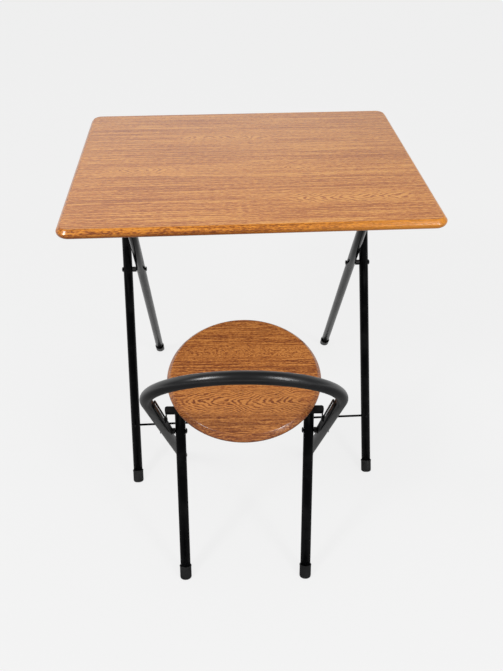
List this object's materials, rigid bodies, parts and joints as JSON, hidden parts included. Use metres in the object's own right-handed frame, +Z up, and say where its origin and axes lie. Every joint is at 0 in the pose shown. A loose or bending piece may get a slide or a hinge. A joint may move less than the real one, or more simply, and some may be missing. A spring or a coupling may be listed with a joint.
{
  "type": "folding table and chair set",
  "caption": "Folding table with crossed black tube legs and a wood-grain top, with a folding round-seat chair whose back is a tube hoop",
  "frame": {"origin": "on the floor, in the middle of the plan of the whole set", "axes": "+X along the table's long side, to the right as the sitter faces the table; +Y from the chair towards the table; +Z up"},
  "size_m": [0.762, 1.0026, 0.734],
  "materials": {
    "top_wood": "printed wood-grain laminate, satin",
    "seat_wood": "printed wood-grain laminate, satin",
    "black_tube": "gloss black powder coat",
    "black_bracket": "satin black paint",
    "foot_plastic": "moulded black",
    "spacer_plastic": "moulded black",
    "dark_rivet": "black oxide",
    "screw_steel": "zinc plated"
  },
  "bodies": {
    "table_frame": {"cross_rod": "black_tube", "leg_rivet_left": "dark_rivet", "leg_rivet_right": "dark_rivet", "leg_spacer_left": "spacer_plastic", "leg_spacer_right": "spacer_plastic", "outer_foot_cap_left": "foot_plastic", "outer_foot_cap_right": "foot_plastic", "outer_leg_frame": "black_tube", "rod_screw_left": "dark_rivet", "rod_screw_right": "dark_rivet"},
    "inner_legs": {"inner_foot_cap_left": "foot_plastic", "inner_foot_cap_right": "foot_plastic", "inner_leg_frame": "black_tube"},
    "tabletop": {"table_top": "top_wood", "top_catch_hook_left": "black_bracket", "top_catch_hook_left_screw_left": "screw_steel", "top_catch_hook_left_screw_right": "screw_steel", "top_catch_hook_right": "black_bracket", "top_catch_hook_right_screw_left": "screw_steel", "top_catch_hook_right_screw_right": "screw_steel", "top_hinge_strap_left": "black_bracket", "top_hinge_strap_left_screw_front": "screw_steel", "top_hinge_strap_left_screw_rear": "screw_steel", "top_hinge_strap_right": "black_bracket", "top_hinge_strap_right_screw_front": "screw_steel", "top_hinge_strap_right_screw_rear": "screw_steel"},
    "chair_frame": {"chair_rivet_left": "dark_rivet", "chair_rivet_right": "dark_rivet", "chair_spacer_left": "spacer_plastic", "chair_spacer_right": "spacer_plastic", "front_foot_cap_left": "foot_plastic", "front_foot_cap_right": "foot_plastic", "guide_plate_left": "black_bracket", "guide_plate_right": "black_bracket", "hoop_back_frame": "black_tube"},
    "chair_rear_legs": {"rear_foot_cap_left": "foot_plastic", "rear_foot_cap_right": "foot_plastic", "rear_leg_frame": "black_tube"},
    "chair_seat": {"channel_screw_left": "screw_steel", "channel_screw_right": "screw_steel", "seat_board": "seat_wood", "seat_channel": "black_bracket", "seat_packing_left": "spacer_plastic", "seat_packing_right": "spacer_plastic", "seat_strap_left": "black_bracket", "seat_strap_left_screw_front": "screw_steel", "seat_strap_left_screw_rear": "screw_steel", "seat_strap_right": "black_bracket", "seat_strap_right_screw_front": "screw_steel", "seat_strap_right_screw_rear": "screw_steel", "slide_pin_left": "dark_rivet", "slide_pin_right": "dark_rivet"}
  },
  "joints": [
    {"name": "leg_fold", "type": "hinge", "parent": "table_frame", "child": "inner_legs", "pos_m": [0, 0.18133, 0.462], "axis": [1, 0, 0], "range_deg": [-54.8, 0]},
    {"name": "top_tilt", "type": "hinge", "parent": "table_frame", "child": "tabletop", "pos_m": [0, 0.32255, 0.7023], "axis": [1, 0, 0], "range_deg": [-118, 0]},
    {"name": "chair_slide", "type": "slide", "parent": "table_frame", "child": "chair_frame", "axis": [0.0489, 0.9988, 0], "range_m": [-0.3, 0.045]},
    {"name": "chair_fold", "type": "hinge", "parent": "chair_frame", "child": "chair_rear_legs", "pos_m": [-0.02762, -0.22852, 0.29862], "axis": [0.9988, -0.0489, 0], "range_deg": [0, 55]},
    {"name": "seat_fold", "type": "hinge", "parent": "chair_rear_legs", "child": "chair_seat", "pos_m": [-0.0245, -0.16481, 0.41984], "axis": [0.9988, -0.0489, 0], "range_deg": [-110, 0]}
  ],
  "couplings": [
    {"joint": "top_tilt", "follows": "leg_fold", "ratio": 2.153},
    {"joint": "seat_fold", "follows": "chair_fold", "ratio": -2}
  ]
}
